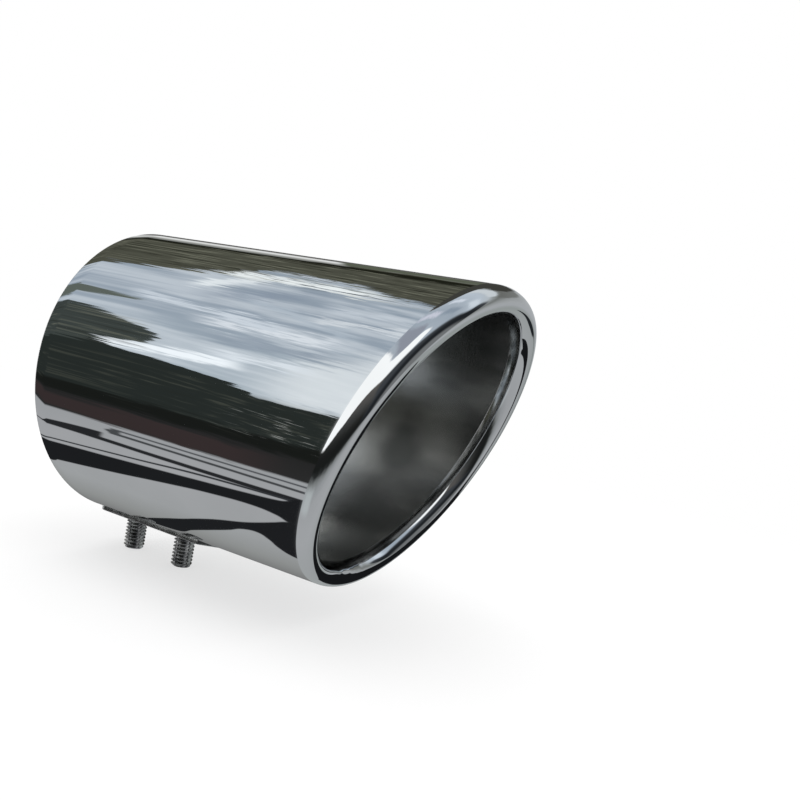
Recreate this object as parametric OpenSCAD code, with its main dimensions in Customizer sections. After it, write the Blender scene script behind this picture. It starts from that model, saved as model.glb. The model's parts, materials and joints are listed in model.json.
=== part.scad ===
// Slash-cut exhaust tip with a rolled-in lip, clamped on the tail pipe by two set screws.
// Frame: +X along the tube's axis and out of the mouth, +Z up towards the long side of the slash.
// The origin is on the axis, at the square-cut inlet rim. All sizes are in millimetres.

/* [Tube] */
// Outside diameter of the tube
tube_od = 80; // [60:1:110]
// Thickness of the tube's sheet
sheet_t = 1.2; // [0.8:0.1:1.6]
// Length along the axis, from the inlet rim to the middle of the slashed mouth
tube_len = 90.6; // [75:0.1:160]

/* [Slash-cut mouth] */
// Angle between the mouth's plane and a square cut
slash_angle = 21.4; // [0:0.1:32]
// Half the thickness of the rolled lip, across the sheet
lip_r = 2.9; // [2.2:0.1:4.5]
// Half the depth of the rolled lip, square to the mouth
lip_depth = 4.2; // [2.2:0.1:7]
// How far the sheet's edge is turned round the bend, from the side of the tube
lip_turn = 200; // [180:5:235]

/* [Clamp plate] */
// Width of the plate
plate_w = 13.5; // [11:0.5:20]
// Thickness of the plate
plate_t = 1.5; // [1:0.1:2.5]
// How far the plate's rear end stands out behind the inlet rim
plate_overhang = 4.2; // [0:0.1:6]
// Length of plate in front of the front screw's axis, with the nose
plate_front = 17; // [9:0.5:25]
// Length of the tapered nose
nose_len = 7.5; // [3:0.5:8.5]
// Radius of the nose's tip
nose_r = 2.6; // [1.5:0.1:4]
// Radius of the plate's other corners
corner_r = 2; // [0.5:0.5:4]
// Depth of the saddle pressed into the plate where it seats on the tube
saddle_depth = 0.3; // [0.1:0.05:0.6]
// Height of the drawn collar round each threaded hole
collar_h = 1; // [0.5:0.1:2]
// Wall of the drawn collar at its lower end
collar_wall = 0.5; // [0.3:0.1:1.5]

/* [Set screws] */
// Thread diameter of the set screws
screw_d = 6; // [4:0.5:8]
// Length of the set screws
screw_len = 12; // [8:1:25]
// Distance from the inlet rim to the rear screw's axis
rear_screw_x = 5.2; // [5:0.1:12]
// Distance between the two screws' axes
screw_spacing = 19; // [12:0.5:26]
// Width across the flats of the hexagon socket
socket_af = 3; // [2:0.5:3.5]
// Depth of the hexagon socket
socket_depth = 3.5; // [1.5:0.5:5]

/* [Clearances] */
// Gap between a screw's thread and the threaded hole, on the radius
thread_clearance = 0.03; // [0.01:0.01:0.1]
// Gap between a screw's thread and its hole in the tube's wall, on the radius
hole_clearance = 0.4; // [0.2:0.1:0.8]
// How far a backed-off screw's point stays out of the tube's bore
point_recess = 0.1; // [0.05:0.05:0.5]

/* [Hidden] */
$fn = 96;

tube_r = tube_od / 2;
bore_r = tube_r - sheet_t;
screw_r = screw_d / 2;
front_screw_x = rear_screw_x + screw_spacing;

// The lip is swept in steps round the mouth, each step an arc of sheet
lip_steps = 96;
bend_steps = 11;
// The swept lip lies this far inside the tube's two faces where the two overlap
lip_inset = 0.02;
// The swept part starts this far back inside the round wall
lip_root = 2.5;
// The tube's own wall ends this far behind the start of the bend
wall_setback = 1;
lip_face_r = tube_r - lip_inset;
lip_bore_r = bore_r / cos(180 / lip_steps) + lip_inset;
lip_t = lip_face_r - lip_bore_r;
// Normal of the mouth's plane, out of the tube
mouth_normal = [cos(slash_angle), 0, -sin(slash_angle)];
// The full-round bore ends half the lip's depth behind the short side of the bend
bore_len = bend_centre(180)[0] - lip_depth;
// From there on the wall's inner half belongs to the swept part
skin_r = (tube_r + bore_r) / 2;

// Slope of the plane in which the bend meets the outside of the tube
bend_plane_angle = atan((bend_begin(0)[0] - bend_begin(180)[0]) / 2 / tube_r);

saddle_z = -tube_r + saddle_depth;
plate_under_z = saddle_z - plate_t;
plate_rear_x = -plate_overhang;
plate_tip_x = front_screw_x + plate_front;
nose_x = plate_tip_x - nose_len;
shoulder_r = corner_r * 0.75;

screw_point_z = -bore_r - point_recess;
// The point is cupped, and both ends are chamfered down to the thread's root
point_h = screw_d * 0.2;
point_r = screw_r * 0.55;
end_chamfer = screw_d * 0.09;
cup_depth = screw_d * 0.1;
cup_r = screw_r * 0.35;

// Direction from the axis to the place on the tube at an angle round from its top
function radial(round_angle) = [0, sin(round_angle), cos(round_angle)];

function unit(v) = v / norm(v);

// Outward direction in the mouth's plane, square to the mouth's outline
function mouth_outward(round_angle) =
    unit(sin(round_angle) / cos(slash_angle) * [0, 1, 0]
         + cos(round_angle) * [sin(slash_angle), 0, cos(slash_angle)]);

// Angle between the side of the tube and the mouth's plane
function side_lean(round_angle) = asin(radial(round_angle) * mouth_normal);

// Distance from the bend's centre to the side of the tube
function bend_reach(round_angle) =
    norm([lip_r * cos(side_lean(round_angle)), lip_depth * sin(side_lean(round_angle))]);

// Centre of the bend at an angle round the mouth
function bend_centre(round_angle) =
    let (path_r = lip_face_r - bend_reach(round_angle))
    path_r * radial(round_angle) + [tube_len + path_r * cos(round_angle) * tan(slash_angle), 0, 0];

// Turn angle at which the sheet leaves the side of the tube
function bend_start(round_angle) =
    atan2(lip_depth * sin(side_lean(round_angle)), lip_r * cos(side_lean(round_angle)));

// A point of the bend's oval section, at a turn angle and a depth below its outside
function bend_point(round_angle, turn, inset) =
    bend_centre(round_angle)
    + (lip_r - inset) * cos(turn) * mouth_outward(round_angle)
    + (lip_depth - inset) * sin(turn) * mouth_normal;

// Where the bend begins on the outside of the tube
function bend_begin(round_angle) = bend_point(round_angle, bend_start(round_angle), 0);

// Turn angle of one step of the bend
function bend_turn(round_angle, step) =
    bend_start(round_angle) + (lip_turn - bend_start(round_angle)) * step / bend_steps;

// A point of the square plane in which the swept part is rooted
function root_point(round_angle, r) = [bore_len - lip_root, 0, 0] + r * radial(round_angle);

// The sheet's section at one step round the mouth: up the outside, round the bend, and back
function lip_section(round_angle) = concat(
    [root_point(round_angle, lip_face_r)],
    [for (step = [0:bend_steps])
        bend_point(round_angle, bend_turn(round_angle, step), 0)],
    [for (step = [bend_steps:-1:0])
        bend_point(round_angle, bend_turn(round_angle, step), lip_t)],
    [root_point(round_angle, lip_bore_r)]
);

// The slashed end of the tube and its rolled lip: one section swept round the mouth
module rolled_lip() {
    section_n = 2 * bend_steps + 4;
    points = [for (i = [0:lip_steps - 1]) each lip_section(360 * i / lip_steps)];
    faces = [for (i = [0:lip_steps - 1], j = [0:section_n - 1])
        let (
            next_i = (i + 1) % lip_steps,
            next_j = (j + 1) % section_n,
            a = i * section_n + j,
            b = i * section_n + next_j,
            c = next_i * section_n + next_j,
            d = next_i * section_n + j
        )
        each [[a, c, b], [a, d, c]]];
    polyhedron(points = points, faces = faces, convexity = 6);
}

// A round bar along the tube's axis
module bar_x(r, from_x, to_x) {
    translate([from_x, 0, 0])
        rotate([0, 90, 0])
            cylinder(r = r, h = to_x - from_x);
}

// The straight wall of the tube, cut to the slope at which the bend begins
module tube_wall() {
    long_x = tube_len + tube_r;
    difference() {
        bar_x(tube_r, 0, long_x);
        bar_x(bore_r, -1, bore_len + lip_root);
        bar_x(skin_r, bore_len, long_x + 1);
        translate([tube_len - wall_setback, 0, 0])
            rotate([0, bend_plane_angle, 0])
                translate([0, -tube_od, -tube_od * 2])
                    cube([tube_od * 2, tube_od * 2, tube_od * 4]);
    }
}

// A hole straight down through the bottom of the tube's wall
module screw_hole(x) {
    translate([x, 0, -tube_r - 1])
        cylinder(r = screw_r + hole_clearance, h = sheet_t + tube_r * 0.1 + 1);
}

module outer_shell() {
    color("lightsteelblue")
        difference() {
            union() {
                tube_wall();
                rolled_lip();
            }
            screw_hole(rear_screw_x);
            screw_hole(front_screw_x);
        }
}

// Outline of the plate: a strap with rounded corners and a tapered nose
module plate_outline() {
    hull() {
        for (side = [-1, 1]) {
            translate([plate_rear_x + corner_r, side * (plate_w / 2 - corner_r)])
                circle(r = corner_r, $fn = 32);
            translate([nose_x, side * (plate_w / 2 - shoulder_r)])
                circle(r = shoulder_r, $fn = 32);
        }
        translate([plate_tip_x - nose_r, 0])
            circle(r = nose_r, $fn = 32);
    }
}

// A collar drawn down out of the plate round a threaded hole, with a filleted root
module drawn_collar(x) {
    hole_r = screw_r + thread_clearance;
    end_r = hole_r + collar_wall;
    fillet = [for (a = [0:15:90])
        [end_r + collar_h * (1 - sin(a)), plate_under_z - collar_h * (1 - cos(a))]];
    translate([x, 0, 0])
        rotate_extrude()
            polygon(concat(
                [[hole_r * 0.5, plate_under_z + plate_t / 2]],
                [[end_r + collar_h, plate_under_z + plate_t / 2]],
                fillet,
                [[hole_r * 0.5, plate_under_z - collar_h]]
            ));
}

module clamp_plate() {
    color("slategray")
        difference() {
            union() {
                translate([0, 0, plate_under_z])
                    linear_extrude(height = plate_t)
                        plate_outline();
                drawn_collar(rear_screw_x);
                drawn_collar(front_screw_x);
            }
            bar_x(tube_r, plate_rear_x - 1, plate_tip_x + 1);
            for (x = [rear_screw_x, front_screw_x])
                translate([x, 0, plate_under_z - collar_h - 1])
                    cylinder(r = screw_r + thread_clearance, h = plate_t + collar_h + 2);
        }
}

// A headless set screw, point up: cupped point, plain thread cylinder, hexagon socket below
module set_screw(x) {
    translate([x, 0, screw_point_z - screw_len])
        difference() {
            rotate_extrude()
                polygon([
                    [0, 0],
                    [screw_r - end_chamfer, 0],
                    [screw_r, end_chamfer],
                    [screw_r, screw_len - point_h],
                    [point_r, screw_len],
                    [cup_r, screw_len],
                    [0, screw_len - cup_depth]
                ]);
            translate([0, 0, -1])
                cylinder(d = socket_af / cos(30), h = socket_depth + 1, $fn = 6);
        }
}

module set_screw_rear() {
    color("dimgray") set_screw(rear_screw_x);
}

module set_screw_front() {
    color("dimgray") set_screw(front_screw_x);
}

outer_shell();
clamp_plate();
set_screw_rear();
set_screw_front();
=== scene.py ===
"""Slash-cut exhaust tip with a rolled-in lip: its finishes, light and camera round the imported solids.

Metres throughout, in the frame of the solids. +X runs along the tube and out of the mouth, +Z towards the
long side of the slash, and the origin is at the centre of the square-cut inlet rim.
"""

import json
import logging
import math
from collections.abc import Callable, Sequence
from dataclasses import dataclass, field
from enum import Enum
from typing import Any

import bmesh
import bpy
from mathutils import Matrix, Vector


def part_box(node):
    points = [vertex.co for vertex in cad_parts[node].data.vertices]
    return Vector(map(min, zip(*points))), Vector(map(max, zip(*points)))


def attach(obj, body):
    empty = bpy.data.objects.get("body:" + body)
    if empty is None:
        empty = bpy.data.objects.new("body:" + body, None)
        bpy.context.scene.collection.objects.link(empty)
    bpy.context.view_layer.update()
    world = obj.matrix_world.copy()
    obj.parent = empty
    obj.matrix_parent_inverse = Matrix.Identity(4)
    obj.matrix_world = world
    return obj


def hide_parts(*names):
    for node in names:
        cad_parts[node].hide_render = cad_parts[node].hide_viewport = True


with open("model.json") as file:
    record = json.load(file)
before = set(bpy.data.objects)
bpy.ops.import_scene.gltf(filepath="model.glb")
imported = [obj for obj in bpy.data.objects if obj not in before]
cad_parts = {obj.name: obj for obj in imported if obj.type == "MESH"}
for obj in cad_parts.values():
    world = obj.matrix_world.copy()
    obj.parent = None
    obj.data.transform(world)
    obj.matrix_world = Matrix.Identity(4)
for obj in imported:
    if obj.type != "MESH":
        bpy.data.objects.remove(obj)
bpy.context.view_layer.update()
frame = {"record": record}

MM = 0.001
LOG = logging.getLogger("exhaust_tip")

Place = Callable[[float], Vector]
Triple = tuple[float, float, float]
Colour = Triple
Pair = tuple[float, float]
Points = tuple[Pair, ...]


class Coat(Enum):
    """Which material of the shell a band of its faces takes."""

    POLISHED = 0
    DRAWN = 1
    CUT_EDGE = 2


class Socket:
    """An output of a shader node, with arithmetic that adds Math nodes."""

    def __init__(self, graph: "Graph", socket: bpy.types.NodeSocket) -> None:
        """Wrap one output socket of a graph."""
        self.graph = graph
        self.socket = socket

    def _math(self, operation: str, *values: Any) -> "Socket":
        """Add one Math node on the given values."""
        return self.graph.node("ShaderNodeMath", {"operation": operation}, dict(enumerate(values)))

    def __add__(self, other: Any) -> "Socket":
        """Sum with a number or a socket."""
        return self._math("ADD", self, other)

    def __radd__(self, other: Any) -> "Socket":
        """Sum with a number on the left."""
        return self._math("ADD", other, self)

    def __sub__(self, other: Any) -> "Socket":
        """Difference with a number or a socket."""
        return self._math("SUBTRACT", self, other)

    def __rsub__(self, other: Any) -> "Socket":
        """Difference with a number on the left."""
        return self._math("SUBTRACT", other, self)

    def __mul__(self, other: Any) -> "Socket":
        """Product with a number or a socket."""
        return self._math("MULTIPLY", self, other)

    def __rmul__(self, other: Any) -> "Socket":
        """Product with a number on the left."""
        return self._math("MULTIPLY", other, self)

    def __truediv__(self, other: Any) -> "Socket":
        """Quotient by a number or a socket."""
        return self._math("DIVIDE", self, other)

    def __pow__(self, other: Any) -> "Socket":
        """Power of a number or a socket."""
        return self._math("POWER", self, other)

    def bearing(self, other: Any) -> "Socket":
        """Angle of the point (other, self), in degrees."""
        return self._math("ARCTAN2", self, other) * math.degrees(1.0)

    def ease(self, low: Any, high: Any) -> "Socket":
        """Smooth step from 0 at low to 1 at high."""
        return self.graph.node(
            "ShaderNodeMapRange", {"interpolation_type": "SMOOTHSTEP"}, {0: self, 1: low, 2: high}
        )

    def band(self, start: Any, full: Any, fading: Any, end: Any) -> "Socket":
        """Smooth rise from 0 at start to 1 at full, and fall from 1 at fading to 0 at end."""
        return self.ease(start, full) * self.ease(end, fading)


class Graph:
    """A material's or the world's node tree, built from expressions."""

    def __init__(self, tree: bpy.types.NodeTree) -> None:
        """Empty a node tree, to build in it."""
        self.tree = tree
        tree.nodes.clear()

    def node(self, kind: str, settings: dict, inputs: dict, output: int | str = 0) -> Socket:
        """Add one node.

        Args:
            kind: The node's type, such as ShaderNodeMath.
            settings: Its settings, set first. "stops" gives a ramp's (position, colour) pairs and "knots"
                a curve's (position, height) pairs.
            inputs: Values or sockets by input name or index.
            output: The name or index of the output that is returned.

        Returns:
            The output, wrapped.
        """
        made = self.tree.nodes.new(kind)
        for name, value in settings.items():
            if name == "stops":
                self._set_stops(made.color_ramp, value)
            elif name == "knots":
                self._set_knots(made.mapping, value)
            else:
                setattr(made, name, value)
        for key, value in inputs.items():
            target = made.inputs[key]
            if isinstance(value, Socket):
                self.tree.links.new(value.socket, target)
            elif target.type == "RGBA" and len(value) == 3:
                target.default_value = (*value, 1.0)
            else:
                target.default_value = value
        return Socket(self, (made.outputs or made.inputs)[output])

    @staticmethod
    def _set_stops(ramp: bpy.types.ColorRamp, stops: Sequence[tuple[float, Colour]]) -> None:
        """Give a colour ramp its stops."""
        while len(ramp.elements) < len(stops):
            ramp.elements.new(1.0)
        for element, (position, colour) in zip(ramp.elements, stops):
            element.position = position
            element.color = (*colour, 1.0)

    @staticmethod
    def _set_knots(mapping: bpy.types.CurveMapping, knots: Sequence[Pair]) -> None:
        """Give a float curve its knots."""
        points = mapping.curves[0].points
        while len(points) < len(knots):
            points.new(0.5, 0.5)
        for point, knot in zip(points, knots):
            point.location = knot
        mapping.update()

    def split(self, vector: Any) -> list[Socket]:
        """The three components of a vector."""
        first = self.node("ShaderNodeSeparateXYZ", {}, {0: vector})
        return [Socket(self, out) for out in first.socket.node.outputs]

    def join(self, x: Any, y: Any, z: Any = 0.0) -> Socket:
        """A vector of three components."""
        return self.node("ShaderNodeCombineXYZ", {}, {0: x, 1: y, 2: z})

    def curve(self, value: Socket, points: Points) -> Socket:
        """Run a value through a smooth curve.

        Args:
            value: The value along the curve.
            points: The curve's (value, result) points, in order.

        Returns:
            The result, which stays level beyond the first and last points.
        """
        start, span = points[0][0], points[-1][0] - points[0][0]
        floor = min(result for _, result in points)
        rise = max(result for _, result in points) - floor
        if rise == 0.0:
            return value * 0.0 + floor
        knots = [((at - start) / span, (result - floor) / rise) for at, result in points]
        share = self.node("ShaderNodeMapRange", {}, {0: value, 1: start, 2: start + span})
        return self.node("ShaderNodeFloatCurve", {"knots": knots}, {"Value": share}) * rise + floor

    def mix(self, factor: Any, first: Any, second: Any) -> Socket:
        """Blend two colours; factor 0 is the first."""
        inputs = {"Factor": factor, 6: first, 7: second}
        return self.node("ShaderNodeMix", {"data_type": "RGBA"}, inputs, output=2)

    def noise(self, where: Any, scale: float, detail: float = 3.0, roughness: float = 0.5) -> Socket:
        """Fractal noise from 0 to 1 at a place."""
        inputs = {"Vector": where, "Scale": scale, "Detail": detail, "Roughness": roughness}
        return self.node("ShaderNodeTexNoise", {}, inputs)

    def stretched(self, where: Any, scale: Triple) -> Socket:
        """The place with each axis multiplied."""
        return self.node("ShaderNodeVectorMath", {"operation": "MULTIPLY"}, {0: where, 1: scale})

    def place(self) -> Socket:
        """The object's own coordinates."""
        return self.node("ShaderNodeTexCoord", {}, {}, output="Object")

    def glow(self, colour: Any, strength: float = 1.0) -> Socket:
        """Light of one colour."""
        return self.node("ShaderNodeEmission", {}, {"Color": colour, "Strength": strength})

    def bump(self, height: Socket) -> Socket:
        """A normal tilted by a height in metres."""
        return self.node("ShaderNodeBump", {}, {"Strength": 1.0, "Distance": 1.0, "Height": height})


def screen(code: str) -> Colour:
    """Linear colour of a screen colour written as six hexadecimal digits."""
    values = [int(code[i:i + 2], 16) / 255.0 for i in (0, 2, 4)]
    return tuple(v / 12.92 if v <= 0.04045 else ((v + 0.055) / 1.055) ** 2.4 for v in values)


def new_material(name: str) -> tuple[bpy.types.Material, Graph]:
    """Make an empty node material, and give its graph with it."""
    material = bpy.data.materials.new(name)
    material.use_nodes = True
    return material, Graph(material.node_tree)


@dataclass(frozen=True)
class MetalFinish:
    """One bare steel finish: colour, gloss, grain and unevenness.

    Each soft spot is a place, a reach and how much lighter the metal is there, as a painted reflection;
    below 0 it is duller there, as painted shade.
    """

    name: str
    colour: Colour
    dark_colour: Colour
    roughness: float
    rough_spread: float
    cloud_scale: Triple
    grain_scale: Triple
    wave_scale: float
    wave_bump: float
    grain_bump: float = 0.0
    painted_light_and_shade_spots: tuple[tuple[Triple, float, float], ...] = ()

    def make(self) -> bpy.types.Material:
        """Build the material.

        Returns:
            A metal whose colour, roughness and normal vary over the piece.
        """
        material, graph = new_material(self.name)
        where = graph.place()
        grain = graph.noise(graph.stretched(where, self.grain_scale), 1.0, 4.0, 0.6)
        cloud = graph.noise(graph.stretched(where, self.cloud_scale), 1.0, 4.0, 0.55)
        wave = graph.noise(where, self.wave_scale, 1.0, 0.4)
        # Soft spots paint reflections (lighter) and shade (darker) into the colour
        for place, reach, gain in self.painted_light_and_shade_spots:
            ends = {0: where, 1: place}
            gap = graph.node("ShaderNodeVectorMath", {"operation": "DISTANCE"}, ends, output="Value")
            cloud = cloud + gap.ease(reach, 0.0) * gain
        colour = graph.mix(cloud.ease(0.3, 0.75), self.dark_colour, self.colour)
        roughness = self.roughness + (grain * 0.6 + cloud * 0.4 - 0.5) * self.rough_spread
        height = grain * self.grain_bump + wave * self.wave_bump
        shader = graph.node(
            "ShaderNodeBsdfPrincipled",
            {},
            {"Base Color": colour, "Metallic": 1.0, "Roughness": roughness, "Normal": graph.bump(height)},
        )
        graph.node("ShaderNodeOutputMaterial", {}, {"Surface": shader})
        return material


POLISHED = MetalFinish(
    name="polished_steel",
    colour=(0.80, 0.81, 0.82),
    dark_colour=(0.76, 0.77, 0.78),
    roughness=0.02, rough_spread=0.012,
    cloud_scale=(45, 45, 45), grain_scale=(300, 1500, 1500),
    wave_scale=60.0, wave_bump=0.00001,
)
# The bore's strong light and dark mottle and its soft spots are painted reflections and painted shade
DRAWN = MetalFinish(
    name="drawn_steel",
    colour=(0.90, 0.89, 0.87),
    dark_colour=(0.27, 0.275, 0.27),
    roughness=0.25, rough_spread=0.10,
    cloud_scale=(13, 42, 42), grain_scale=(250, 90, 90),
    grain_bump=0.000002,
    wave_scale=50.0, wave_bump=0.00008,
    painted_light_and_shade_spots=(
        ((0.05, 0.037, -0.011), 0.017, 0.3), ((0.078, 0.0385, -0.002), 0.014, 0.24),
        ((0.0665, 0.038, -0.0075), 0.009, -0.16), ((0.06, 0.0385, 0.0), 0.008, 0.1),
        ((0.067, 0.035, 0.016), 0.009, 0.2), ((0.052, 0.037, 0.01), 0.009, -0.15),
        ((0.08, 0.029, 0.026), 0.02, -0.25), ((0.064, 0.023, -0.031), 0.018, -0.3),
        ((0.069, 0.011, -0.037), 0.016, -0.25),
    ),
)
CUT = MetalFinish(
    name="cut_edge_steel",
    colour=(0.66, 0.66, 0.66),
    dark_colour=(0.50, 0.50, 0.50),
    roughness=0.25, rough_spread=0.12,
    cloud_scale=(90, 90, 90), grain_scale=(900, 900, 900),
    grain_bump=0.00001,
    wave_scale=200.0, wave_bump=0.00002,
)
STRIP = MetalFinish(
    name="strip_steel",
    colour=(0.82, 0.82, 0.81),
    dark_colour=(0.36, 0.37, 0.37),
    roughness=0.27, rough_spread=0.16,
    cloud_scale=(420, 420, 420), grain_scale=(150, 1400, 1400),
    grain_bump=0.00002,
    wave_scale=160.0, wave_bump=0.00006,
)
THREAD = MetalFinish(
    name="rolled_thread_steel",
    colour=(0.86, 0.86, 0.85),
    dark_colour=(0.28, 0.28, 0.285),
    roughness=0.17, rough_spread=0.12,
    cloud_scale=(420, 420, 420), grain_scale=(900, 900, 900),
    grain_bump=0.00002,
    wave_scale=500.0, wave_bump=0.00003,
)


def finish_piece(name: str, mesh_data: bmesh.types.BMesh,
                 materials: Sequence[bpy.types.Material]) -> bpy.types.Object:
    """Turn a bmesh into a linked object.

    Args:
        name: The piece's name.
        mesh_data: The bmesh, freed here.
        materials: The piece's material slots in order.

    Returns:
        The object, at the origin.
    """
    mesh = bpy.data.meshes.new(name)
    mesh_data.to_mesh(mesh)
    mesh_data.free()
    for material in materials:
        mesh.materials.append(material)
    piece = bpy.data.objects.new(name, mesh)
    bpy.context.scene.collection.objects.link(piece)
    return piece


def smooth(piece: bpy.types.Object, sharp_deg: float = 38.0) -> None:
    """Shade a piece smooth, with sharp edges above an angle."""
    piece.data.shade_smooth()
    piece.data.set_sharp_from_angle(angle=math.radians(sharp_deg))


def carve(piece: bpy.types.Object, tools: Sequence[bpy.types.Object], operation: str) -> None:
    """Apply exact booleans to a piece and remove the tools.

    Args:
        piece: The piece that is changed.
        tools: The objects that are cut out of it or joined to it.
        operation: DIFFERENCE or UNION.
    """
    for tool in tools:
        modifier = piece.modifiers.new(tool.name, "BOOLEAN")
        modifier.operation = operation
        modifier.solver = "EXACT"
        modifier.object = tool
    bpy.context.view_layer.update()
    graph = bpy.context.evaluated_depsgraph_get()
    mesh = bpy.data.meshes.new_from_object(piece.evaluated_get(graph))
    piece.modifiers.clear()
    piece.data = mesh
    for tool in tools:
        bpy.data.objects.remove(tool)


def round_bar(radius: float, low: Vector, high: Vector, segments: int = 96) -> bpy.types.Object:
    """Make a plain closed bar between two points, as a cutting tool.

    Args:
        radius: The bar's radius, to its corners.
        low: The centre of one end.
        high: The centre of the other end.
        segments: Sides of the bar.

    Returns:
        The bar.
    """
    shape = bmesh.new()
    along = high - low
    turn = Vector((0, 0, 1)).rotation_difference(along).to_matrix().to_4x4()
    bmesh.ops.create_cone(
        shape, cap_ends=True, segments=segments, radius1=radius, radius2=radius,
        depth=along.length, matrix=Matrix.Translation((low + high) / 2) @ turn,
    )
    return finish_piece("bar", shape, [])


@dataclass
class Shell:
    """The tube: one sheet, square-cut at the inlet and rolled in round the slashed mouth."""

    tube_r: float
    bore_r: float
    reach: float
    screws: Sequence["SetScrew"]
    slash: float = math.radians(21.4)
    lip_r: float = 2.9 * MM
    lip_depth: float = 4.2 * MM
    lip_turn: float = math.radians(200.0)
    edge_r: float = 0.3 * MM
    hole_gap: float = 0.4 * MM
    around: int = 256
    wall_rings: int = 36
    bend_rings: int = 40
    edge_rings: int = 4
    crowding: float = 1.5
    inner_bend: float = 0.97
    dents: tuple[Triple, ...] = (
        (173.0, 1.3, 0.10), (176.6, 1.2, 0.13), (180.0, 1.1, 0.11), (187.5, 3.0, 0.12),
    )
    dent_turn: float = 152.0
    dent_spread: float = 30.0

    @property
    def normal(self) -> Vector:
        """Normal of the mouth's plane, out of the tube."""
        return Vector((math.cos(self.slash), 0.0, -math.sin(self.slash)))

    @property
    def sheet(self) -> float:
        """Thickness of the sheet."""
        return self.tube_r - self.bore_r

    @property
    def tube_len(self) -> float:
        """Length from the inlet rim to the middle of the bend, on the axis."""
        bulge = math.hypot(self.lip_r * math.sin(self.slash), self.lip_depth * math.cos(self.slash))
        return self.reach - bulge - self.path_r(0.0) * math.tan(self.slash)

    def radial(self, around: float) -> Vector:
        """Direction from the axis at an angle round from the top."""
        return Vector((0.0, math.sin(around), math.cos(around)))

    def lean(self, around: float) -> float:
        """Angle between the side of the tube and the mouth's plane."""
        return math.asin(self.radial(around).dot(self.normal))

    def path_r(self, around: float) -> float:
        """Distance of the bend's centre from the tube's axis."""
        lean = self.lean(around)
        return self.tube_r - math.hypot(self.lip_r * math.cos(lean), self.lip_depth * math.sin(lean))

    def bend_point(self, around: float, share: float, inset: float, extra: float = 0.0) -> Vector:
        """A point of the rolled bend, whose section is an oval.

        Args:
            around: Angle round the mouth from the top.
            share: How far round the bend, from 0 at the tube's side to 1 at the sheet's edge.
            inset: Depth below the outside of the bend.
            extra: Angle added to the turn.

        Returns:
            The point.
        """
        outward = Vector((
            math.cos(around) * math.sin(self.slash),
            math.sin(around) / math.cos(self.slash),
            math.cos(around) * math.cos(self.slash),
        )).normalized()
        lean = self.lean(around)
        start = math.atan2(self.lip_depth * math.sin(lean), self.lip_r * math.cos(lean))
        turn = start + (self.lip_turn - start) * share + extra
        path_r = self.path_r(around)
        forward = self.tube_len + path_r * math.cos(around) * math.tan(self.slash)
        inset += self.dent(around, turn)
        across = (self.lip_r - inset) * math.cos(turn) * outward
        along = (self.lip_depth - inset) * math.sin(turn) * self.normal
        return path_r * self.radial(around) + Vector((forward, 0.0, 0.0)) + across + along

    def dent(self, around: float, turn: float) -> float:
        """Depth of the puckers that rolling leaves across the lip's lowest part.

        Each has an angle round the mouth and a width in degrees, and a depth in millimetres.
        """
        where = math.degrees(around) % 360.0
        depth = sum(deep * math.exp(-((where - at) / wide) ** 2) for at, wide, deep in self.dents)
        return depth * MM * math.exp(-((math.degrees(turn) - self.dent_turn) / self.dent_spread) ** 2)

    def wall_line(self, around: float, radius: float) -> tuple[Vector, float]:
        """A wall line's direction from the axis, and how far it runs from the rim until the bend begins."""
        end = self.bend_point(around, 0.0, self.tube_r - radius)
        return Vector((0.0, end.y, end.z)).normalized(), end.x

    def wall_point(self, around: float, share: float, radius: float, rim: float) -> Vector:
        """A point of the wall, at a share of the way from its start near the rim to the bend."""
        way, end = self.wall_line(around, radius)
        return radius * way + Vector((rim + (end - rim) * share, 0.0, 0.0))

    def rim_point(self, around: float, corner: float, turn: float) -> Vector:
        """A point of a rounded corner of the inlet rim, at a radius and a turn in degrees."""
        side = math.copysign(1.0, corner - (self.tube_r + self.bore_r) / 2)
        radius = corner - side * self.edge_r * (1.0 - math.cos(math.radians(turn)))
        back = self.edge_r * (1.0 - math.sin(math.radians(turn)))
        return radius * self.wall_line(around, corner)[0] + Vector((back, 0.0, 0.0))

    def stations(self) -> list[tuple[Coat, Place]]:
        """The sheet's section as a closed row of stations.

        Returns:
            Each station's coat and the place of its point at an angle round the tube.
        """
        rows: list[tuple[Coat, Place]] = []

        def add(coat: Coat, place: Callable[..., Vector], *values: float) -> None:
            """Add one station."""
            rows.append((coat, lambda around: place(around, *values)))

        def wall(radius: float, coat: Coat, back: bool) -> None:
            """Add the stations of one face of the straight wall, closer together near the bend."""
            shares = [1.0 - (1.0 - i / self.wall_rings) ** self.crowding for i in range(self.wall_rings)]
            for share in reversed(shares) if back else shares:
                add(coat, self.wall_point, share, radius, self.edge_r)

        wall(self.tube_r, Coat.POLISHED, False)
        for i in range(self.bend_rings + 1):
            share = i / self.bend_rings * (1.0 - self.edge_r / self.lip_depth / self.lip_turn)
            add(Coat.POLISHED, self.bend_point, share, 0.0)
        for side in (1, -1):
            middle = self.edge_r if side > 0 else self.sheet - self.edge_r
            for i in range(self.edge_rings + 1):
                angle = math.pi / 2 * i / self.edge_rings
                swing = math.sin(angle) if side > 0 else math.cos(angle)
                lift = math.cos(angle) if side > 0 else -math.sin(angle)
                turn = -self.edge_r / self.lip_depth * (1.0 - swing)
                add(Coat.CUT_EDGE, self.bend_point, 1.0, middle - self.edge_r * lift, turn)
        for i in range(self.bend_rings, -1, -2):
            add(Coat.DRAWN, self.bend_point, i / self.bend_rings * self.inner_bend, self.sheet)
        wall(self.bore_r, Coat.DRAWN, True)
        for i in range(1, self.edge_rings + 1):
            add(Coat.CUT_EDGE, self.rim_point, self.bore_r, 90.0 * i / self.edge_rings)
        for i in range(self.edge_rings, -1, -1):
            add(Coat.CUT_EDGE, self.rim_point, self.tube_r, 90.0 * i / self.edge_rings)
        return rows

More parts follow.
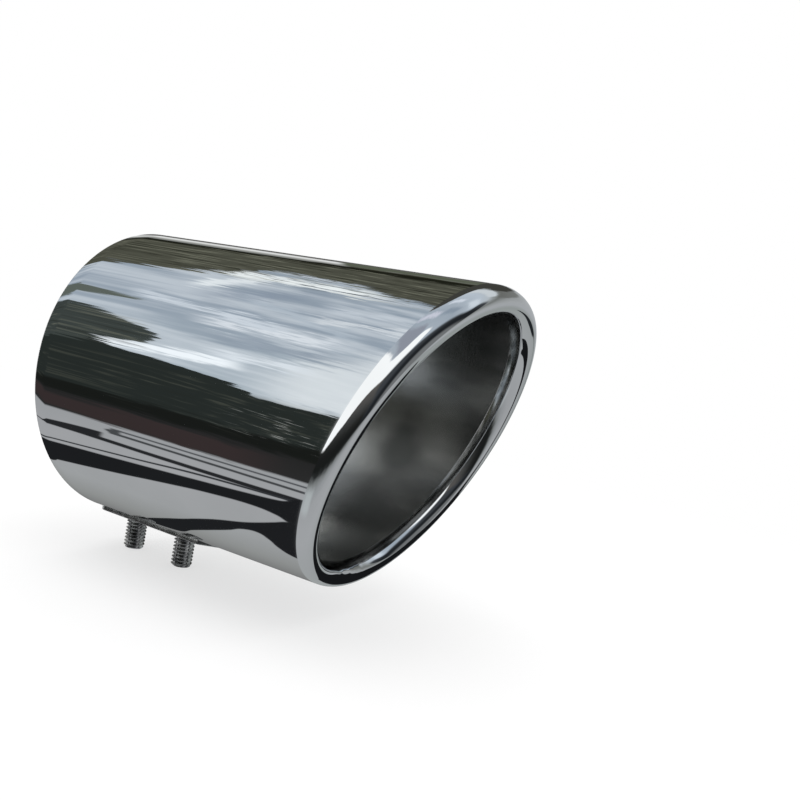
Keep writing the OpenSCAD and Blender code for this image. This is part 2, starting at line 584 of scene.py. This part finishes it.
    def build(self, materials: Sequence[bpy.types.Material]) -> bpy.types.Object:
        """Grow the sheet ring by ring, close it and drill the screw holes.

        Args:
            materials: The polished, drawn and cut-edge materials.

        Returns:
            The shell.
        """
        sheet = bmesh.new()
        angle = sheet.verts.layers.float.new("around")
        ring = bmesh.ops.create_circle(sheet, segments=self.around, radius=self.tube_r)["verts"]
        for vert in ring:
            vert[angle] = math.atan2(vert.co.x, vert.co.y)
        edges = list(sheet.edges)
        rows = self.stations()
        for vert in ring:
            vert.co = rows[0][1](vert[angle])
        for coat, place in rows[1:]:
            grown = bmesh.ops.extrude_edge_only(sheet, edges=edges)["geom"]
            edges = [part for part in grown if isinstance(part, bmesh.types.BMEdge)]
            for part in grown:
                if isinstance(part, bmesh.types.BMVert):
                    part.co = place(part[angle])
                elif isinstance(part, bmesh.types.BMFace):
                    part.material_index = coat.value
        bmesh.ops.remove_doubles(sheet, verts=sheet.verts, dist=0.002 * MM)
        bmesh.ops.recalc_face_normals(sheet, faces=sheet.faces)
        shell = finish_piece("tip_shell", sheet, materials)
        top, bottom = -self.tube_r * 0.9, -self.tube_r * 1.1
        drills = [screw.bar(screw.radius + self.hole_gap, bottom, top) for screw in self.screws]
        carve(shell, drills, "DIFFERENCE")
        smooth(shell)
        return shell


@dataclass
class SetScrew:
    """A headless set screw: cupped point up, rolled thread, hexagon socket below.

    The thread's profile is given as depths below its crest and heights, both in pitches, and the radii at
    the chamfer, the point and the cup as shares of the thread's.
    """

    node: str
    phase: float
    pitch: float = 1.0 * MM
    profile: Points = ((0.61, 0.0), (0.61, 0.12), (0.61, 0.22), (0.33, 0.38), (0.0, 0.56), (0.0, 0.69),
                       (0.33, 0.86), (0.61, 1.0))
    chamfer_share: float = 0.82
    point_share: float = 0.55
    point_slope: float = 1.125
    cup_share: float = 0.2
    socket_af: float = 3.0 * MM
    socket_depth: float = 3.5 * MM
    steps: int = 48
    low: Vector = field(init=False)
    high: Vector = field(init=False)

    def __post_init__(self) -> None:
        """Take the screw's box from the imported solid."""
        self.low, self.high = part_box(self.node)

    @property
    def radius(self) -> float:
        """Outside radius of the thread."""
        return (self.high.y - self.low.y) / 2

    @property
    def axis_x(self) -> float:
        """Distance of the screw's axis from the inlet rim."""
        return (self.high.x + self.low.x) / 2

    def bar(self, radius: float, low: float, high: float, sides: int = 96) -> bpy.types.Object:
        """A bar on the screw's axis between two heights, as a cutting tool."""
        low_end, high_end = (Vector((self.axis_x, 0.0, z)) for z in (low, high))
        return round_bar(radius, low_end, high_end, sides)

    def envelope(self, z: float) -> float:
        """Largest radius that the chamfer and the point leave at a height."""
        chamfer = self.radius * self.chamfer_share + (z - self.low.z)
        point = self.radius * self.point_share + (self.high.z - z) * self.point_slope
        return min(self.radius, chamfer, point)

    def build(self, material: bpy.types.Material) -> bpy.types.Object:
        """Spin one thread profile up the screw, trim its ends and cut the socket.

        Args:
            material: The screw's material.

        Returns:
            The screw.
        """
        # The helix starts below the screw and ends above it, so that each trim cuts whole turns
        turns = math.ceil((self.high.z - self.low.z) / self.pitch) + 3
        start = self.low.z - 1.4 * self.pitch
        thread = bmesh.new()
        verts = [thread.verts.new((self.radius - deep * self.pitch, 0.0, start + up * self.pitch))
                 for deep, up in self.profile]
        edges = [thread.edges.new(pair) for pair in zip(verts, verts[1:])]
        bmesh.ops.spin(
            thread, geom=verts + edges, cent=(0, 0, 0), axis=(0, 0, 1), angle=turns * math.tau,
            dvec=(0, 0, self.pitch / self.steps), steps=turns * self.steps, use_merge=False,
            use_duplicate=False,
        )
        bmesh.ops.remove_doubles(thread, verts=thread.verts, dist=0.001 * MM)
        for height, outward in ((self.low.z, -1), (self.high.z, 1)):
            whole = thread.verts[:] + thread.edges[:] + thread.faces[:]
            cut = bmesh.ops.bisect_plane(
                thread, geom=whole, plane_co=(0, 0, height), plane_no=(0, 0, outward), clear_outer=True
            )["geom_cut"]
            rim = [part for part in cut if isinstance(part, bmesh.types.BMEdge)]
            bmesh.ops.edgeloop_fill(thread, edges=rim)
        for vert in thread.verts:
            across = Vector((vert.co.x, vert.co.y, 0.0))
            limit = self.envelope(vert.co.z)
            if across.length > limit:
                vert.co.xy = (across * (limit / across.length)).xy
        cap = max(thread.faces, key=lambda face: face.calc_center_median().z)
        cup = self.radius * self.cup_share
        bmesh.ops.inset_region(thread, faces=[cap], thickness=cup)
        tip = bmesh.ops.poke(thread, faces=[cap])["verts"]
        bmesh.ops.translate(thread, verts=tip, vec=(0, 0, -cup))
        turn = Matrix.Translation((self.axis_x, 0.0, 0.0)) @ Matrix.Rotation(self.phase, 4, "Z")
        bmesh.ops.transform(thread, matrix=turn, verts=thread.verts)
        bmesh.ops.recalc_face_normals(thread, faces=thread.faces)
        screw = finish_piece("thread_" + self.node, thread, [material])
        corner_r = self.socket_af / 2 / math.cos(math.pi / 6)
        key = self.bar(corner_r, self.low.z - self.socket_depth, self.low.z + self.socket_depth, 6)
        carve(screw, [key], "DIFFERENCE")
        smooth(screw, 30.0)
        return screw


@dataclass
class ClampPlate:
    """The strap under the inlet: tapered nose, saddle, and a drawn collar round each thread."""

    tube_r: float
    screws: Sequence[SetScrew]
    thickness: float = 1.5 * MM
    corner_r: float = 2.0 * MM
    corner_steps: int = 8
    shoulder_r: float = 1.5 * MM
    nose_r: float = 2.6 * MM
    nose_len: float = 7.5 * MM
    edge_r: float = 0.22 * MM
    collar_wall: float = 0.5 * MM
    collar_edge_r: float = 0.15 * MM
    thread_gap: float = 0.03 * MM
    low: Vector = field(init=False)
    high: Vector = field(init=False)

    def __post_init__(self) -> None:
        """Take the plate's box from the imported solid."""
        self.low, self.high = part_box("clamp_plate")

    @property
    def under_z(self) -> float:
        """Height of the plate's under side."""
        return self.high.z - self.thickness

    def corner_arc(self, x: float, y: float, radius: float, first: float, last: float) -> Points:
        """Points of one rounded corner, from one direction to another in degrees."""
        steps = self.corner_steps
        angles = [math.radians(first + (last - first) * i / steps) for i in range(steps + 1)]
        return tuple((x + radius * math.cos(a), y + radius * math.sin(a)) for a in angles)

    def outline(self) -> Points:
        """The strap's outline, right half first.

        Returns:
            The outline's points, counter-clockwise from the rear.
        """
        half = self.high.y
        nose_x = self.high.x - self.nose_len
        tip_x = self.high.x - self.nose_r
        rise = half - self.shoulder_r
        slope = math.degrees(math.atan2(rise, tip_x - nose_x))
        gap = math.hypot(tip_x - nose_x, rise)
        lean = 90.0 - slope + math.degrees(math.asin((self.nose_r - self.shoulder_r) / gap))
        rear_x = self.low.x + self.corner_r
        right = self.corner_arc(rear_x, -half + self.corner_r, self.corner_r, 180, 270)
        right += self.corner_arc(nose_x, -rise, self.shoulder_r, 270, 360 - lean)
        right += self.corner_arc(tip_x, 0.0, self.nose_r, -lean, 0)
        return right + tuple((x, -y) for x, y in reversed(right[:-1]))

    def collar(self, screw: SetScrew, material: bpy.types.Material) -> bpy.types.Object:
        """The collar drawn down round one threaded hole, as a spun solid."""
        end_r = screw.radius + self.thread_gap + self.collar_wall
        height = self.under_z - self.low.z
        middle_z = self.under_z + self.thickness / 2
        flare = [(end_r + height * (1.0 - math.sin(a)), self.under_z - height * (1.0 - math.cos(a)))
                 for a in (math.radians(step * 9.0) for step in range(10))]
        top = [(0.0, middle_z), (flare[0][0], middle_z)]
        end = [(end_r, self.low.z + self.collar_edge_r), (end_r - self.collar_edge_r, self.low.z),
               (0.0, self.low.z)]
        shape = bmesh.new()
        verts = [shape.verts.new((screw.axis_x + r, 0.0, z)) for r, z in top + flare + end]
        edges = [shape.edges.new(pair) for pair in zip(verts, verts[1:])]
        bmesh.ops.spin(
            shape, geom=verts + edges, cent=(screw.axis_x, 0, 0), axis=(0, 0, 1), angle=math.tau,
            steps=72, use_merge=True, use_duplicate=False,
        )
        bmesh.ops.remove_doubles(shape, verts=shape.verts, dist=0.001 * MM)
        bmesh.ops.recalc_face_normals(shape, faces=shape.faces)
        return finish_piece("collar", shape, [material])

    def build(self, material: bpy.types.Material) -> bpy.types.Object:
        """Extrude the strap, round its edges, add the collars, and cut the saddle and the holes.

        Args:
            material: The plate's material.

        Returns:
            The plate.
        """
        strap = bmesh.new()
        verts = [strap.verts.new((x, y, self.under_z)) for x, y in self.outline()]
        face = strap.faces.new(verts)
        grown = bmesh.ops.extrude_face_region(strap, geom=[face])["geom"]
        top = [part for part in grown if isinstance(part, bmesh.types.BMVert)]
        bmesh.ops.translate(strap, verts=top, vec=(0, 0, self.thickness))
        bmesh.ops.recalc_face_normals(strap, faces=strap.faces)
        rims = [edge for edge in strap.edges if abs(edge.verts[0].co.z - edge.verts[1].co.z) < 1e-7]
        bmesh.ops.bevel(
            strap, geom=rims, offset=self.edge_r, segments=3, profile=0.5, affect="EDGES", material=-1
        )
        plate = finish_piece("strap_plate", strap, [material])
        carve(plate, [self.collar(screw, material) for screw in self.screws], "UNION")
        rear, front = Vector((self.low.x - 5 * MM, 0, 0)), Vector((self.high.x + 5 * MM, 0, 0))
        saddle = round_bar(self.tube_r, rear, front, 512)
        holes = [screw.bar(screw.radius + self.thread_gap, self.low.z - MM, self.high.z + MM)
                 for screw in self.screws]
        carve(plate, [saddle, *holes], "DIFFERENCE")
        smooth(plate, 30.0)
        return plate


def gloss_only(thing: bpy.types.Object) -> None:
    """Let glossy rays alone see an object."""
    thing.visible_camera = False
    thing.visible_diffuse = False
    thing.visible_shadow = False
    thing.visible_transmission = False


@dataclass(frozen=True)
class Patch:
    """One patch of the painted surroundings, between two borders.

    A border's points are (along, turn) in degrees: the angle from the tube's axis, and the angle round it
    from level, upwards.
    """

    colour: str
    low: Points
    high: Points
    soft: float = 0.7
    end_soft: float = 0.15
    ragged: float = 0.0
    strength: float = 1.0

    def paint(self, graph: Graph, under: Socket, along: Socket, turn: Socket, rough: Socket) -> Socket:
        """Lay the patch over what is painted so far.

        Args:
            graph: The surroundings' graph.
            under: The colour below.
            along: Angle from the tube's axis.
            turn: Angle round the tube's axis.
            rough: Noise from -0.5 to 0.5 that frays the borders.

        Returns:
            The new colour.
        """
        where = turn + rough * self.ragged if self.ragged else turn
        low = graph.curve(along, self.low)
        high = graph.curve(along, self.high)
        inside = where.band(low - self.soft, low + self.soft, high - self.soft, high + self.soft)
        first, last, fade = self.low[0][0], self.low[-1][0], self.end_soft
        inside *= along.band(first - fade, first + fade, last - fade, last + fade)
        return graph.mix(inside * self.strength, under, screen(self.colour))


def streak(colour: str, start: Pair, end: Pair, wide: float, *blend: float) -> Patch:
    """A straight streak of one width between two (along, turn) points, blended in as a patch is."""
    (a, t), (b, u) = start, end
    low = ((a, t - wide / 2), (b, u - wide / 2))
    high = ((a, t + wide / 2), (b, u + wide / 2))
    return Patch(colour, low, high, *blend)


# Tones are (turn, colour) pairs: here those that the tube's side mirrors
SIDE_TONES = (
    (-180, "808282"), (-150, "717272"), (-125, "8a8c8b"), (-100, "9b9d9e"), (-60, "a0a1a3"),
    (-39.2, "9a9c9e"), (-38.2, "2b2b2b"), (-24, "262626"), (-20, "181a19"), (-8, "222423"),
    (8, "2c302f"), (12, "aab5bd"), (40, "a0acb6"), (60, "94a0ac"), (80, "8f9ba8"), (100, "929eaa"),
    (145.5, "929eaa"), (146.5, "73746f"), (150, "8b8c88"), (153, "b4b5b2"), (156, "dcdddc"),
    (158.5, "c9cac8"), (161, "6c6c6a"), (164, "4c4c4a"), (170, "585856"), (180, "7c7e7e"),
)
# The edge of the tree tops that reach into the sky
CROWN = Patch("4b4c42", ((100, 98), (114, 103), (117, 106.5), (120, 111), (123, 118), (127, 119),
                         (128.5, 112), (132, 103), (135, 98.5), (139, 96), (180, 94)),
              ((100, 170), (180, 170)), 1, 0.3, 24)
# Tones and patches ahead of the mouth, of which the lip mirrors most at the photo's angle
FRONT_TONES = (
    (-180, "a0a3a6"), (-165, "8f9493"), (-150, "939797"), (-120, "9a9d9e"), (-90, "9fa1a3"),
    (-60, "9b9d9f"), (-48, "8f9294"), (-40, "767979"), (-34, "2c2e2e"), (-29, "191b1a"), (-20, "1b1c1c"),
    (-12, "262726"), (-2, "3a3b3b"), (8, "4c4b4a"), (20, "565452"), (25, "6c6b68"), (30, "9aa2a9"),
    (45, "a1a9b2"), (70, "a3adb7"), (90, "98a3ae"), (100, "a2acb6"), (118, "b4bec8"), (128, "b0b7bc"),
    (134, "8a8e8e"), (140, "6f7270"), (150, "8f9292"), (165, "a0a3a5"), (180, "a0a3a6"),
)
FRONT_PATCHES = (
    Patch("adb3b4", ((100, -64), (122, -62)), ((100, -46), (122, -42)), 5, 6, 6, 0.8),
    Patch("f7f9f9", ((60, 44), (66, 28), (70, 24), (80, 20), (85, 17), (90, 12), (95, 6), (100, 0),
           (105, -3), (110, -7), (115, -10), (122, -15), (126, -17)),
          ((60, 48), (64, 62), (70, 71), (76, 70), (80, 62), (83, 52), (86, 46), (90, 44), (95, 46),
           (100, 50), (105, 52), (110, 55), (115, 58), (126, 63)), 2.2, 3, 4),
    Patch("8b909b", ((81, 54), (86, 49), (92, 49), (100, 55), (110, 62), (119, 70)),
          ((81, 66), (86, 74), (92, 76), (100, 76), (110, 78), (119, 84)), 3.5, 2.5, 6),
    streak("c5c8d4", (90, 86), (118, 92), 7, 2.5, 5, 8),
    streak("8793a0", (66, 95), (86, 90), 9, 3, 4, 8),
    streak("c9d2da", (52, 114), (72, 111), 11, 3, 6, 10),
    streak("cdd4de", (84, 106), (101, 104), 5, 2, 3, 8),
    Patch("c5cbcf", ((70, 125), (96, 121), (102, 119)), ((70, 134), (82, 135), (92, 131), (102, 127)),
          2, 2, 6),
    Patch("666764", ((66, 136), (80, 137), (90, 134), (98, 134)), ((66, 148), (84, 156), (98, 158)),
          2, 4, 8, 0.8),
    Patch("1e2124", ((69.5, -158), (73.5, -162), (79, -158)), ((69.5, -147), (74, -143), (79, -149)),
          0.8, 0.6, 3),
    Patch("3b3b37", ((88, 138), (92, 134), (98, 134), (102, 130), (104, 113), (110, 104), (118, 101)),
          ((88, 146), (95, 152), (100, 158), (108, 163), (118, 168)), 2, 1.5, 8),
)
# Edges are (turn, along) points: how far the painted shade ahead of the mouth reaches, and the whole front
NEAR_EDGE = ((-180, 5), (-60, 5), (-45, 20), (-38, 36), (-20, 44), (0, 50), (15, 62), (25, 66), (35, 64),
             (45, 61), (60, 57), (80, 53), (100, 49), (112, 46), (120, 52), (128, 56), (136, 44), (145, 28),
             (155, 10), (180, 5))
FRONT_EDGE = ((-180, 119), (-158, 119.9), (-134, 120.7), (-109, 121.4), (-84, 121.9), (-57, 122.2),
              (-31, 122.1), (-4, 121.7), (23, 121), (41, 120.3), (59, 119.5), (76, 118.6), (94, 117.7),
              (111, 116.8), (128, 115.9), (144, 115.1), (169, 114), (180, 113.6))
CLOUDS = (
    Patch("e3e8ea", ((112, 14), (121, 10), (126, 9)), ((112, 70), (121, 52), (126, 32)), 8, 2.5, 30, 0.7),
    streak("ecf1f1", (120.5, 108), (131, 108.5), 7, 2, 1.5, 26),
    streak("dfe5e8", (127.6, 104), (132, 89), 7, 2.5, 0.8, 24),
    streak("d2d8dd", (118, 78), (124.5, 75), 4, 2.5, 1, 20),
    streak("c2cad2", (118.5, 89), (123.5, 86), 4, 2.5, 1, 20),
    streak("d9dfe5", (122.5, 59), (131, 57), 5, 2.5, 1.5, 22),
    streak("cdd5dd", (126, 62), (135, 70), 5, 2.5, 1, 22),
    streak("dde4ea", (124, 36), (130, 34), 4, 2.5, 1.5, 18),
    streak("f1f7fb", (128.5, 29), (137.4, 25), 5.5, 1.5, 1, 14),
    streak("b3bec8", (121.5, 66), (129, 84), 5, 2.5, 1.5, 26, 0.7),
    streak("8692a0", (121.5, 48), (131, 46), 7, 3.5, 2.5, 26, 0.6),
    streak("8490a0", (124.5, 96), (131, 80), 6, 3.5, 2, 26, 0.6),
)
TREES = (
    Patch("343429", ((100, 146), (122.9, 146)), ((100, 153), (122.9, 151)), 2, 0.4, 10),
    Patch("53584b", ((100, 152), (123.2, 151)), ((100, 160), (118, 162), (123.2, 163)), 1.5, 0.4, 10),
    Patch("1b1c15", ((100, 141), (126, 141), (180, 139.5)),
          ((100, 149), (124, 148.5), (126, 147), (180, 146)), 1, 0.3, 3),
    Patch("5b625c", ((134.6, 64.5), (137, 61.5), (141, 59.5), (180, 58)),
          ((134.6, 64.5), (137, 67), (141, 70), (180, 73)), 1, 0.4, 14),
    Patch("262b29", ((100, -22), (180, -22)),
          ((100, 11), (122, 10), (126, 9.5), (127.4, 13), (129.5, 16.5), (132, 19), (135, 21), (137, 24),
           (141, 27), (180, 30)), 0.5, 0.3, 12),
    Patch("3b413f", ((133.2, 36), (134.6, 30), (136.6, 25.5), (141, 20), (180, 20)),
          ((133.2, 36), (134.6, 42), (136, 47), (138, 50.5), (141, 52), (180, 56)), 0.7, 0.2, 16),
    Patch("181a18", ((100, -24), (180, -22)), ((100, -12), (128, -15), (180, -12)), 2, 0.3, 12),
    Patch("352d2d", ((125.5, -38.4), (133, -38.2), (140, -35.8), (180, -35)), ((125.5, -27), (180, -22)),
          1.6, 2.5, 12),
)
KERBS = (
    streak("505255", (118, -41.8), (134.8, -42.3), 1.2, 0.4),
    streak("424446", (118, -46.4), (134.8, -45.6), 1.7, 0.4),
    Patch("46484a", ((134.2, -46.5), (135.1, -44.8)), ((134.2, -41.6), (135.1, -43.6)), 0.5, 0.15),
    Patch("252628", ((118, -54.7), (130, -55.2), (138.3, -54.6), (143, -56.6), (149, -60)),
          ((118, -51.2), (132, -52.2), (135.6, -51.8), (138.3, -53), (143, -55.4), (149, -59.2)),
          0.5, 0.15),
    Patch("252628", ((135.2, -53.5), (139.6, -54.8), (143, -56.4)),
          ((135.2, -47.4), (136.6, -48.2), (139.6, -51.8), (143, -55.6)), 0.5, 0.2),
    Patch("303235", ((118, -54.9), (128, -57.8), (133, -62.6), (138.6, -68.9), (144, -75.6), (150, -84)),
          ((118, -53.6), (128, -56.2), (133, -61.2), (138.6, -67.6), (144, -74), (150, -82)), 0.4, 0.15),
    Patch("1c1d1f", ((118, -78), (122.6, -74), (123.6, -70.6), (125, -69), (128, -71), (131, -76),
           (134, -82.5), (137.8, -91), (142, -101), (146, -111), (151, -124)),
          ((118, -48), (122.6, -53), (123.6, -57.4), (126, -60), (129, -62.6), (132, -65.2), (135, -68),
           (137.8, -70.6), (142, -75), (146, -80), (151, -88)), 0.6, 0.2),
    Patch("1d1e20", ((118, -114), (121.8, -109), (122.8, -104), (123.6, -97.5), (124.4, -94.2),
           (125.2, -96), (126, -103), (127.3, -115), (128.2, -126), (129, -142), (131.2, -150)),
          ((118, -64), (122.8, -73.5), (123.6, -78), (125, -86), (127.5, -98.5), (129, -111), (130.4, -126),
           (131.2, -140)), 0.7, 0.2),
)


@dataclass
class Surround:
    """What the polished metal mirrors: sky, trees and paved ground, seen by gloss alone."""

    radius: float = 40.0
    edge_soft: float = 0.2
    near_soft: float = 5.0
    strength: float = 1.25
    sway: float = 7.0
    shear: float = 0.5
    cloud_scale: Pair = (0.11, 0.13)
    leaf_scale: Pair = (0.34, 0.46)
    glint_scale: Pair = (0.5, 1.3)

    @staticmethod
    def tones(graph: Graph, turn: Socket, stops: Sequence[tuple[float, str]]) -> Socket:
        """Colour that depends only on the angle round the tube."""
        places = [((at + 180.0) / 360.0, screen(code)) for at, code in stops]
        return graph.node("ShaderNodeValToRGB", {"stops": places}, {0: (turn + 180.0) / 360.0})

    def colours(self, graph: Graph) -> Socket:
        """Paint the whole surround.

        Args:
            graph: The dome's graph.

        Returns:
            The colour at a direction.
        """
        x, y, z = graph.split(graph.place())
        along = ((y * y + z * z) ** 0.5).bearing(x)
        turn = z.bearing(y * -1.0)
        # Clouds and leaves slant, and are drawn out in the directions behind the inlet
        reach = graph.curve(along, ((0, 0), (126, 126), (132, 131), (137, 134), (180, 138)))
        slope = turn - reach * self.shear

        def cloudy(scale: Pair, detail: float, roughness: float) -> Socket:
            """Noise from 0 to 1 over the slanting directions."""
            return graph.noise(graph.join(reach * scale[0], slope * scale[1]), 1.0, detail, roughness)

        def lay(patches: Sequence[Patch], under: Socket) -> Socket:
            """Paint patches one over the other."""
            for patch in patches:
                under = patch.paint(graph, under, along, turn, leaves)
            return under

        drift = cloudy(self.cloud_scale, 4.0, 0.52)
        leaves = cloudy(self.leaf_scale, 4.0, 0.6) - 0.5
        plain = self.tones(graph, turn, SIDE_TONES)
        haze = drift.ease(0.38, 0.64) * turn.band(11, 14, 143, 145) * 0.6
        side = lay((*CLOUDS, CROWN), graph.mix(haze, plain, screen("d0d7dd")))
        side = lay(TREES, graph.mix(turn.ease(145.8, 146.6), side, plain))
        crown = turn.band(97, 108, 142, 147)
        hedge = turn.band(-22, -8, 6, 22)
        copse = along.ease(133.4, 134.4) * turn.band(20, 24, 46, 50)
        shade = crown + hedge * 0.2 + copse * 0.6
        side = graph.mix(leaves.ease(0.02, 0.18) * shade * 0.7, side, screen("7e7f70"))
        side = graph.mix(leaves.ease(-0.02, -0.16) * shade * 0.8, side, screen("24251e"))
        glint = cloudy(self.glint_scale, 2.0, 0.5).ease(0.60, 0.70)
        wet = turn.band(-19, -14, -3, 3) * along.ease(130, 125)
        side = lay(KERBS, graph.mix(glint * wet * 0.8, side, screen("a6a8a4")))
        front = lay(FRONT_PATCHES, self.tones(graph, turn + (drift - 0.5) * self.sway, FRONT_TONES))
        near = graph.curve(turn, NEAR_EDGE)
        # Painted shade ahead of the mouth: grey nearest the axis, darkest at middling angles along
        dark = graph.mix(along.ease(20, 32), screen("6e7071"), screen("202326"))
        dark = graph.mix(along.ease(38, 52), dark, screen("3c3f43"))
        front = graph.mix(along.ease(near - self.near_soft, near + self.near_soft), dark, front)
        edge = graph.curve(turn, FRONT_EDGE)
        side = graph.mix(along.ease(edge - self.edge_soft, edge + self.edge_soft), front, side)
        glow = along.ease(151, 158) * turn.band(-50, -30, 30, 60)
        return graph.mix(glow, side, screen("e8eaec"))

    def build(self) -> None:
        """Make the painted dome, seen by glossy rays alone."""
        shape = bmesh.new()
        bmesh.ops.create_uvsphere(shape, u_segments=64, v_segments=32, radius=self.radius)
        material, graph = new_material("surround")
        light = graph.glow(self.colours(graph), self.strength)
        graph.node("ShaderNodeOutputMaterial", {}, {"Surface": light})
        material.cycles.emission_sampling = "NONE"
        dome = finish_piece("surround", shape, [material])
        gloss_only(dome)


@dataclass
class Studio:
    """The floor, the even white light and the lamp."""

    floor_z: float
    floor_size: float = 6.0
    # Place and outline of the card of painted shade beside the mouth
    card_y: float = 0.045
    card_outline: Points = ((0.25, -0.105), (0.25, -0.018), (0.088, -0.021), (0.088, -0.057),
                            (0.084, -0.060), (0.075, -0.080), (0.072, -0.105))
    lamp_power: float = 9.0
    lamp_size: float = 1.2
    lamp_place: Triple = (0.3, -0.5, 1.4)
    lamp_aim: Triple = (0.05, 0.0, 0.0)
    clear_from: float = 0.12
    clear_to: float = 0.45
    clear_least: float = 0.62

    def floor_material(self) -> bpy.types.Material:
        """A pale floor that keeps a soft shadow and turns plain white away from the object."""
        material, graph = new_material("pale_floor")
        where = graph.place()
        x, y, _ = graph.split(where)
        tone = graph.mix(graph.noise(where, 3.0), (0.90, 0.90, 0.90), (0.92, 0.92, 0.92))
        matt = graph.node("ShaderNodeBsdfDiffuse", {}, {"Color": tone})
        plain = graph.glow((1.0, 1.0, 1.0))
        seen = sum(
            graph.node("ShaderNodeLightPath", {}, {}, output=ray)
            for ray in ("Is Camera Ray", "Is Glossy Ray", "Is Transmission Ray")
        )
        away = ((x * x + y * y) ** 0.5).ease(self.clear_from, self.clear_to)
        clear = away * (1.0 - self.clear_least) + self.clear_least
        shader = graph.node("ShaderNodeMixShader", {}, {0: seen * clear, 1: matt, 2: plain})
        graph.node("ShaderNodeOutputMaterial", {}, {"Surface": shader})
        return material

    def painted_shade_card(self) -> None:
        """Stand a dark card beside the mouth, which only glossy rays see: painted shade that the lower lip
        mirrors as a dark band.
        """
        shape = bmesh.new()
        shape.faces.new([shape.verts.new((x, self.card_y, z)) for x, z in self.card_outline])
        material, graph = new_material("painted_shade_card")
        graph.node("ShaderNodeOutputMaterial", {}, {"Surface": graph.glow(screen("191a1c"))})
        card = finish_piece("painted_shade_card", shape, [material])
        gloss_only(card)

    def build(self) -> None:
        """Make the floor, the card, the world and the lamp."""
        shape = bmesh.new()
        bmesh.ops.create_grid(shape, x_segments=1, y_segments=1, size=self.floor_size,
                              matrix=Matrix.Translation((0, 0, self.floor_z)))
        floor = finish_piece("pale_floor", shape, [self.floor_material()])
        floor.visible_glossy = False
        # Painted shade: a dark card that only the lip's reflections show
        self.painted_shade_card()
        world = bpy.data.worlds.new("even_light")
        bpy.context.scene.world = world
        world.use_nodes = True
        sky = Graph(world.node_tree)
        even = sky.node("ShaderNodeBackground", {}, {"Color": (1.0, 1.0, 1.0), "Strength": 1.0})
        sky.node("ShaderNodeOutputWorld", {}, {"Surface": even})
        lamp = bpy.data.lights.new("soft_lamp", "AREA")
        lamp.energy = self.lamp_power
        lamp.size = self.lamp_size
        holder = bpy.data.objects.new("soft_lamp", lamp)
        holder.location = self.lamp_place
        aim = Vector(self.lamp_aim) - holder.location
        holder.rotation_euler = aim.to_track_quat("-Z", "Y").to_euler()
        holder.visible_glossy = False
        bpy.context.scene.collection.objects.link(holder)


@dataclass(frozen=True)
class Viewpoint:
    """The camera at the photograph's angle."""

    place: Triple = (0.190177, -0.198016, 0.023616)
    azimuth: float = 30.874
    elevation: float = 8.273
    roll: float = 10.823
    lens: float = 41.317
    shift: Pair = (0.06875, 0.08125)

    def build(self) -> None:
        """Create the camera and make it the scene's."""
        data = bpy.data.cameras.new("photo_view")
        data.lens = self.lens
        data.shift_x, data.shift_y = self.shift
        data.clip_start = 0.01
        camera = bpy.data.objects.new("photo_view", data)
        turn = Matrix.Rotation(math.radians(self.azimuth), 4, "Z")
        tilt = Matrix.Rotation(math.radians(90.0 - self.elevation), 4, "X")
        roll = Matrix.Rotation(math.radians(self.roll), 4, "Z")
        camera.matrix_world = Matrix.Translation(self.place) @ turn @ tilt @ roll
        bpy.context.scene.collection.objects.link(camera)
        bpy.context.scene.camera = camera


def main() -> None:
    """Build every piece, then the stage, the light and the camera."""
    logging.basicConfig(level=logging.INFO, format="%(message)s")
    Viewpoint().build()
    bpy.context.scene.view_settings.view_transform = "Standard"
    shell_low, shell_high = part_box("outer_shell")
    bore = next(mount for mount in frame["record"]["mounts"] if mount["name"] == "tailpipe_bore")
    screws = [SetScrew("set_screw_rear", 0.4), SetScrew("set_screw_front", 2.1)]
    steel = THREAD.make()
    shell = Shell(shell_high.y, bore["dims"]["r_mm"] * MM, shell_high.x, screws)
    pieces = {
        "outer_shell": shell.build([POLISHED.make(), DRAWN.make(), CUT.make()]),
        "clamp_plate": ClampPlate(shell.tube_r, screws).build(STRIP.make()),
    }
    pieces |= {screw.node: screw.build(steel) for screw in screws}
    for node, piece in pieces.items():
        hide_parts(node)
        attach(piece, "root")
        LOG.info("%s: %d faces", piece.name, len(piece.data.polygons))
    Surround().build()
    Studio(floor_z=screws[0].low.z).build()


if __name__ == "__main__":
    main()
